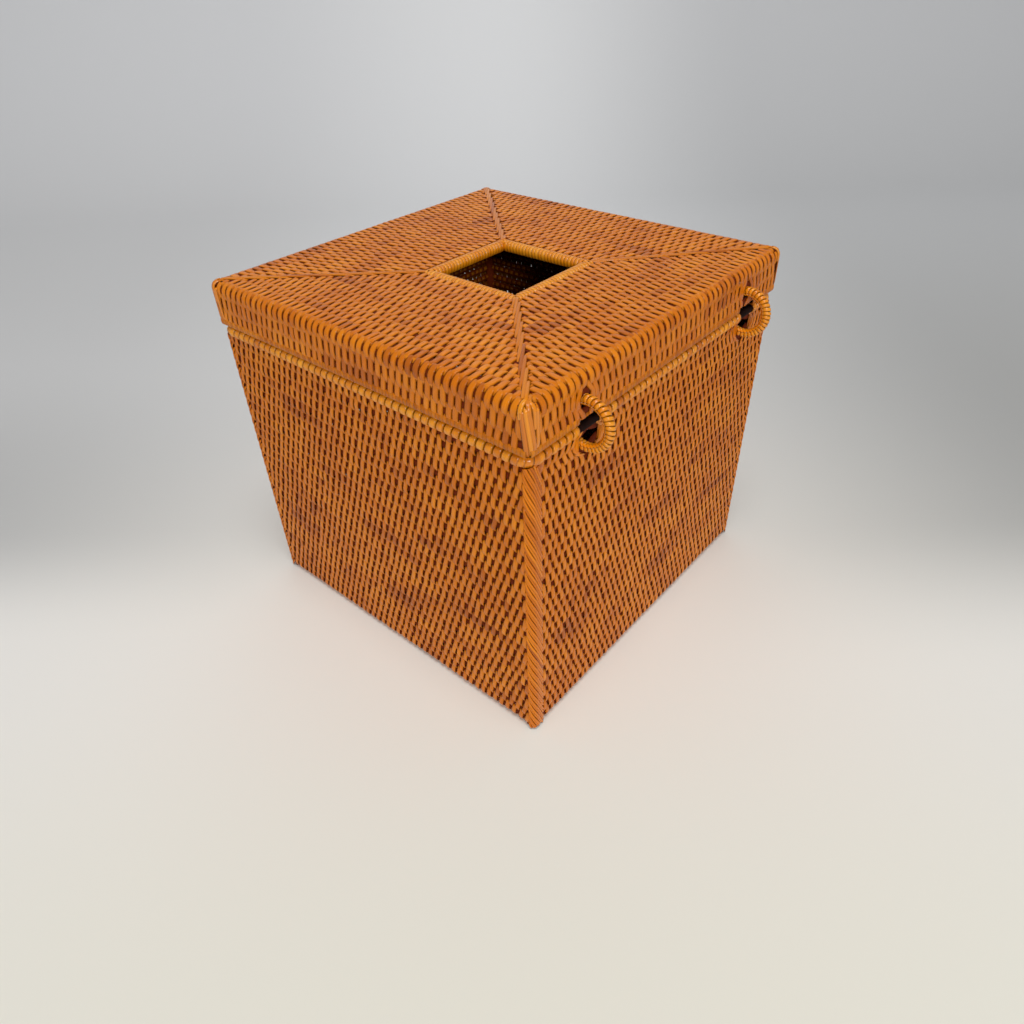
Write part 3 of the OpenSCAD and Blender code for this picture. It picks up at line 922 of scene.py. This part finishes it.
for side, outward in SIDES.items():
    row = outward.cross(UP)
    centre = outward * (LID_FACE - HEM_HALF) + UP * (SKIRT_FOOT + HEM_HALF)
    hem_turns = []
    for i in range(HEM_TURNS):
        x = (i - (HEM_TURNS - 1) / 2) * LID_PITCH
        if side == "rear" and HEM_FREE[0] < beside_ring(row.x * x) < HEM_FREE[1]:
            continue
        loop = strip_turn(centre + row * x, -row, outward, UP, HEM_LOOP, powers=(0.45, 0.6),
                          relief=0.4 + 0.2 * math.sin(2.7 * i))
        hem_turns.append((loop, True, (i * LID_PITCH / MM, 54.0)))
    lay_strands(f"lid_hem_{side}_turns", hem_turns, *HEM_STRIP, "lid", "woven_rattan",
                finish=woven_skin)

# %% [markdown]
# ## Corners of the base
# At each corner a band of long slanted strands hides the ends of the rods. Each
# strand starts round the corner, crosses the band while it falls some 22 mm,
# and dives behind its far edge. Two narrow ones start at every row, side by side.
# A dark post behind them closes the corner from inside.

# %% Corner bands
BAND_TOP, BAND_FOOT = WALL_TOP + 1.6 * MM, 0.6 * MM
BAND_FACE = WALL_FACE - 0.7 * MM
BAND_CORNER = 2.4 * MM  # radius of the turn round the corner
BAND_SIDES = (-2.6 * MM, 6.2 * MM)  # its edges, from the middle of that turn
BAND_PITCH = WALL_ROW / 2
BAND_LAY = 22.0 * MM  # how far a strand falls on its way across
BAND_STEPS = 16
BAND_STRIP = (1.2 * MM, 0.75 * MM)
BASE_POST = (5.0 * MM, 2.6 * MM)
# Corners as the code turns them: anticlockwise from above.
CORNERS = {"rear_right": (1, 1), "rear_left": (-1, 1), "front_left": (-1, -1),
           "front_right": (1, -1)}


def round_corner(u, reach, middle, radius):
    """A place on a surface that turns a corner, and its sideways direction: u runs
    along the surface from the corner, and reach is the distance from the turn's middle."""
    quarter_arc = radius * math.pi / 4
    a = math.pi / 4 * (1 + max(-1.0, min(1.0, u / quarter_arc)))
    slide = math.copysign(max(0.0, abs(u) - quarter_arc), u)
    out, sideways = Vector((math.cos(a), math.sin(a), 0)), Vector((math.sin(a), -math.cos(a), 0))
    return Vector((middle, middle, 0)) + out * reach - sideways * slide, sideways


def dive(share, part, power=1.0):
    """1 at the very end of a strand and 0 from a part of its length on."""
    return 1 - min(1.0, share / part) ** power


def corner_band(quarter, mirrored):
    """Centre lines of one corner's slanted strands; mirrored, they lie on the other wall."""
    turn = Matrix.Rotation(quarter * math.pi / 2, 3, "Z")
    paths = []
    for i in range(int((BAND_TOP - BAND_FOOT + BAND_LAY) / BAND_PITCH)):
        # The second strand of a pair starts a little late, on the first one's flank.
        second = i % 2
        start = BAND_TOP + BAND_LAY - 2 * MM - i * BAND_PITCH - second * 0.5 * MM
        path = []
        for k in range(BAND_STEPS + 1):
            share = k / BAND_STEPS
            z = start - BAND_LAY * share
            if not BAND_FOOT <= z <= BAND_TOP:
                continue
            u = BAND_SIDES[0] + (BAND_SIDES[1] - BAND_SIDES[0]) * share
            height = -1.9 * MM * dive(share, 0.10, 0.6) - 1.6 * MM * dive(1 - share, 0.12, 0.6)
            height += (0.35 if second else 0.1) * MM * math.sin(share * math.pi)
            flat, sideways = round_corner(u, BAND_CORNER + height, BAND_FACE - BAND_CORNER,
                                          BAND_CORNER)
            if mirrored:
                flat, sideways = flat.yxz, -sideways.yxz
            wide = 0.85 + 0.3 * math.sin(7.0 * i + 9.0 * share) ** 2
            path.append((turn @ flat + UP * z, turn @ sideways, wide, 1.0))
        if len(path) > 2:
            paths.append((path, False, (i * 3.1, 60.0 + i)))
    return paths


def lay_post(name, corner, half, foot, top, section, body):
    """A dark rod that stands inside a corner."""
    sx, sy = CORNERS[corner]
    place = Vector((sx, sy, 0)) * (half - 1.2 * MM)
    lay_straight(name, place + UP * foot, place + UP * top, Vector((sy, -sx, 0)), section, 6,
                 body)


for quarter, corner in enumerate(CORNERS):
    band = corner_band(quarter, mirrored=corner == "front_right")
    lay_strands(f"base_corner_{corner}_strands", band, *BAND_STRIP, "base", "rattan_plait",
                [f"base_corner_{corner}"], finish=woven_skin)
    lay_post(f"base_corner_{corner}_post", corner, WALL_MIDDLE, 1.0 * MM, WALL_TOP, BASE_POST,
             "base")

# %% [markdown]
# ## Seams of the lid
# Over each mitre lies a flat bundle of long strands, barely slanted. A flat dark
# lath below it closes the mitre.

# %% Seams
SEAM_HEIGHT = LID_TOP - 0.45 * MM
SEAM_HALF = 1.6 * MM
SEAM_PITCH, SEAM_LAY, SEAM_STEPS = 8.5 * MM, 27.0 * MM, 12
SEAM_STRIP = (1.6 * MM, 0.8 * MM)
SEAM_TIP = LID_FACE - 2.6 * MM
SEAM_DIVE = 1.3 * MM  # how deep both ends of a strand go
LATH_HEIGHT = LID_TOP - 1.9 * MM
LATH_SECTION = (5.2 * MM, 0.9 * MM)


def seam_band(start, end):
    """Centre lines of a flat bundle of long strands along a line on the lid."""
    along = end - start
    length = along.length
    along.normalize()
    sideways = along.cross(UP)
    paths = []
    for i in range(-2, math.ceil(length / SEAM_PITCH)):
        path = []
        for k in range(SEAM_STEPS + 1):
            share = k / SEAM_STEPS
            s = i * SEAM_PITCH + SEAM_LAY * share
            if not 0 <= s <= length:
                continue
            u = SEAM_HALF * (2 * share - 1)
            over_edge = max(0.0, s - length + LID_BEND)
            drop = (SEAM_DIVE * (dive(share, 0.15) + dive(1 - share, 0.15))
                    + 0.45 * MM * (u / SEAM_HALF) ** 2 + over_edge ** 2 / (2 * LID_BEND))
            path.append((start + along * s + sideways * u + UP * (SEAM_HEIGHT - drop),
                         sideways, 1.0, 0.7))
        if len(path) > 2:
            paths.append((path, False, (i * 7.0, 90.0 + i)))
    return paths


for corner, (sx, sy) in CORNERS.items():
    reach = OPENING_HALF + 3.0 * MM
    start = opening_centre + Vector((sx * reach, sy * reach, 0))
    end = Vector((sx * SEAM_TIP, sy * SEAM_TIP, 0))
    lay_strands(f"lid_seam_{corner}_strands", seam_band(start, end), *SEAM_STRIP, "lid",
                "rattan_plait", [f"lid_seam_{corner}"], finish=woven_skin)
    lay_straight(f"lid_seam_{corner}_lath", start + UP * LATH_HEIGHT, end + UP * LATH_HEIGHT,
                 (end - start).cross(UP), LATH_SECTION, 8, "lid")

# %% [markdown]
# ## Corners of the lid
# Long strands run from the end of the seam over the edge and lean down across
# the corner. Between them it is dark, and short knots end the seam beside them.

# %% Lid corners
# Each is (where it starts and how far it leans, in mm; its width as a share; the
# angle at which it starts over the edge; the share of the skirt that it covers).
CORNER_STRANDS = ((0.5, 1.15, 0.95, 62, 0.95), (2.4, 0.3, 1.0, 55, 0.42),
                  (-1.8, 0.75, 1.0, 12, 1.0), (-2.3, 0.0, 1.25, 65, 0.14),
                  (-0.5, 0.9, 0.7, 30, 0.98), (3.6, 0.1, 0.9, 10, 0.9))
CORNER_STRIP = (1.85 * MM, 0.85 * MM)
CORNER_RADIUS = 3.4 * MM
CORNER_POINTS, OVER_EDGE_POINTS = 16, 6
SHOULDER = LID_TOP - 0.45 * MM - CORNER_RADIUS
CORNER_DROP = SHOULDER - SKIRT_FOOT - 0.3 * MM
LID_POST = (4.6 * MM, 2.2 * MM)


def lid_corner(quarter):
    """Centre lines of the strands that come down one corner."""
    turn = Matrix.Rotation(quarter * math.pi / 2, 3, "Z")
    paths = []
    for number, (u, lean, wide, lift_start, drop) in enumerate(CORNER_STRANDS):
        path = []
        for k in range(CORNER_POINTS):
            lift = math.radians(lift_start) * max(0.0, 1 - k / OVER_EDGE_POINTS)
            fall = max(0, k - OVER_EDGE_POINTS) / (CORNER_POINTS - 1 - OVER_EDGE_POINTS) * drop
            z = SHOULDER + CORNER_RADIUS * math.sin(lift) - CORNER_DROP * fall
            # Both ends are tucked in and narrower.
            tuck, narrow = {0: (0.9 * MM, 0.7), 1: (0.25 * MM, 0.9)}.get(
                min(k, CORNER_POINTS - 1 - k), (0.0, 1.0))
            flat, sideways = round_corner(
                (u + lean * fall * 2) * MM, CORNER_RADIUS * math.cos(lift) - tuck,
                LID_FACE - 0.3 * MM - CORNER_RADIUS, CORNER_RADIUS)
            path.append((turn @ flat + UP * z, turn @ sideways, wide * narrow, 1.0))
        paths.append((path, False, (number * 9.0, 120.0 + number)))
    return paths


for quarter, corner in enumerate(CORNERS):
    lay_strands(f"lid_corner_{corner}_strands", lid_corner(quarter), *CORNER_STRIP, "lid",
                "rattan_plait", [f"lid_corner_{corner}"])
    lay_post(f"lid_corner_{corner}_post", corner, LID_MIDDLE, SKIRT_FOOT + 0.8 * MM,
             LID_TOP - 3.0 * MM, LID_POST, "lid")

# %% [markdown]
# ## The rings
# Each hinge ring is a core of cane bound with a narrow strip, turn by turn. The
# strip is locked along the inside of the ring, which makes a small wavy ridge.
# The cores, and the rod inside the rim, show only between the turns: they keep
# the shape of the CAD model and take a near-black colour of their own, which is painted shade.

# %% Rings
RING_TURNS = 36
RING_STRIP = (1.6 * MM, 0.6 * MM)
RING_LOOP = (1.45 * MM, 1.5 * MM)
RIDGE_STEPS = 6  # points of the ridge for each turn
ACROSS_RING = Vector((1, 0, 0))


def on_ring(a):
    """At an angle round a ring: the direction outwards and the direction onwards."""
    return (Vector((0, math.cos(a), math.sin(a))), Vector((0, -math.sin(a), math.cos(a))))


for name, x in (("ring_left", -RING_X), ("ring_right", RING_X)):
    centre = Vector((x, *RING_LINE))
    turns = []
    for i, angle in enumerate(round_steps(RING_TURNS)):
        out, along = on_ring(angle)
        loop = strip_turn(centre + out * (RING_RADIUS - 0.3 * MM), along, out, ACROSS_RING,
                          RING_LOOP, slant=(0.0, 0.5 * MM), count=10)
        turns.append((loop, True, (i * 2.0, 140.0)))
    ridge = []
    for k, angle in enumerate(round_steps(RING_TURNS * RIDGE_STEPS)):
        out, along = on_ring(angle)
        wave = math.sin(k / RIDGE_STEPS * math.tau)
        face = (ACROSS_RING - out).normalized()
        ridge.append((centre + out * (RING_RADIUS - 1.5 * MM + 0.16 * MM * wave)
                      + ACROSS_RING * (1.25 * MM + 0.16 * MM * wave),
                      -face.cross(along), 0.9 + 0.35 * wave, 1.0))
    turns.append((ridge, True, (0.0, 141.0)))
    lay_strands(f"{name}_binding_turns", turns, *RING_STRIP, name, "rattan_strip",
                [f"{name}_binding"])

# The cores and the rim's rod are coloured near black as painted shade.
for node in ("rim_rod", "ring_left_core", "ring_right_core"):
    rod = bpy.data.objects[node]
    rod.data.materials.clear()
    rod.data.materials.append(shaded_rod)

# %% [markdown]
# ## Floor and light
# A pale board curves up behind the object, so there is no horizon. Its colour
# holds painted shade: greyer far off and to the sides, with a painted shadow on
# either side of the object. Lamps could do that, but they would change the object too.

# %% Board
# The sweep runs away from the camera: flat, then up round a wide curve. In metres.
SWEEP_FRONT, SWEEP_STEP = -1.4, 0.29
SWEEP_START, SWEEP_RADIUS, SWEEP_TOP, SWEEP_HALF = 0.92, 0.35, 2.2, 2.2
BOARD_REACH = 2.5  # the colours are given by distance, up to this one
# Painted shade by distance; the dark stops on the left and right are the painted shadow beside
# the object.
MIDDLE_COLOURS = ((0.05, "#E7E5D8"), (0.24, "#EFEDE5"), (0.5, "#E4E4E2"), (0.9, "#E8E9EA"),
                  (1.5, "#EEEFF0"))
LEFT_COLOURS = ((0.05, "#E9E7DD"), (0.24, "#EEECE8"), (0.33, "#BEBEBD"), (0.55, "#D2D2D2"),
                (1.5, "#E1E2E4"))
RIGHT_COLOURS = ((0.05, "#E9E7DC"), (0.20, "#EAE8E3"), (0.31, "#ACACAA"), (0.9, "#C9CACB"),
                 (1.5, "#D2D3D5"))
ASIDE = 0.36  # how far to either side those are reached

away = Vector((LOOK.x, LOOK.y, 0)).normalized()
beside = away.cross(UP)
foot = Vector((CAMERA_PLACE.x, CAMERA_PLACE.y, 0))


def make_sweep():
    """The board as one curved strip of faces."""
    profile = [(SWEEP_FRONT + SWEEP_STEP * k, 0.0) for k in range(8)]
    profile += [(SWEEP_START + SWEEP_RADIUS * math.sin(a), SWEEP_RADIUS * (1 - math.cos(a)))
                for a in (k / 16 * math.pi / 2 for k in range(17))]
    profile.append((SWEEP_START + SWEEP_RADIUS, SWEEP_TOP))
    points = [tuple(foot + away * distance + beside * reach + UP * height)
              for distance, height in profile for reach in (-SWEEP_HALF, SWEEP_HALF)]
    mesh = bpy.data.meshes.new("sweep")
    mesh.from_pydata(points, [], [(2 * i, 2 * i + 1, 2 * i + 3, 2 * i + 2)
                                  for i in range(len(profile) - 1)])
    mesh.shade_smooth()
    return put("sweep", mesh)


def board_colours_and_shade(t):
    """Matt white, with painted shade: paler near the viewer, greyer far off and aside, and a
    painted shadow beside the object.
    """
    where = add(t, VECTOR, {0: add(t, "ShaderNodeTexCoord")["Object"], 1: foot},
                operation="SUBTRACT")
    distance, aside = [add(t, VECTOR, {0: where, 1: direction}, operation="DOT_PRODUCT")["Value"]
                       for direction in (away, beside)]
    far = (distance + parts(t, where)[2]) / BOARD_REACH
    middle, left, right = [
        colour_ramp(t, far, [(place / BOARD_REACH, colour) for place, colour in colours], "EASE")
        for colours in (MIDDLE_COLOURS, LEFT_COLOURS, RIGHT_COLOURS)]
    for edge, colour in ((-ASIDE, left), (ASIDE, right)):
        share = add(t, "ShaderNodeMapRange", {"Value": aside, "From Max": edge},
                    interpolation_type="SMOOTHSTEP")
        middle = add(t, "ShaderNodeMix", {"Factor": share, 6: middle, 7: colour},
                     data_type="RGBA")[2]
    return {"Base Color": middle, "Roughness": 0.65, "Specular IOR Level": 0.2}


sweep = make_sweep()
sweep.data.materials.append(make_material("matt_white_board_painted_shade", board_colours_and_shade))

# %% [markdown]
# Soft light comes from all round and from a broad lamp overhead. A smaller one
# behind the camera puts the little glints on the lacquer.

# %% Light
world = bpy.data.worlds.new("studio")
bpy.context.scene.world = world
world.use_nodes = True
room = world.node_tree.nodes["Background"]
room.inputs["Color"].default_value = (1.0, 1.0, 1.0, 1.0)
room.inputs["Strength"].default_value = 0.26


def lamp(name, place, size, watts):
    """A round soft lamp that looks at the middle of the object."""
    data = bpy.data.lights.new(name, "AREA")
    data.shape = "DISK"
    data.size = size
    data.energy = watts
    lit = put(name, data)
    lit.location = place
    lit.rotation_euler = (Vector((0, 0, 80 * MM)) - lit.location).to_track_quat(
        "-Z", "Y").to_euler()


lamp("overhead", place=(0.35, 0.4, 1.8), size=0.9, watts=16.3)
lamp("behind_camera", place=(0.95, 1.15, 0.75), size=0.20, watts=8.4)

# %% [markdown]
# ## Finish
# The colours are shown with the Standard view transform.

# %% Finish
bpy.context.scene.view_settings.view_transform = "Standard"
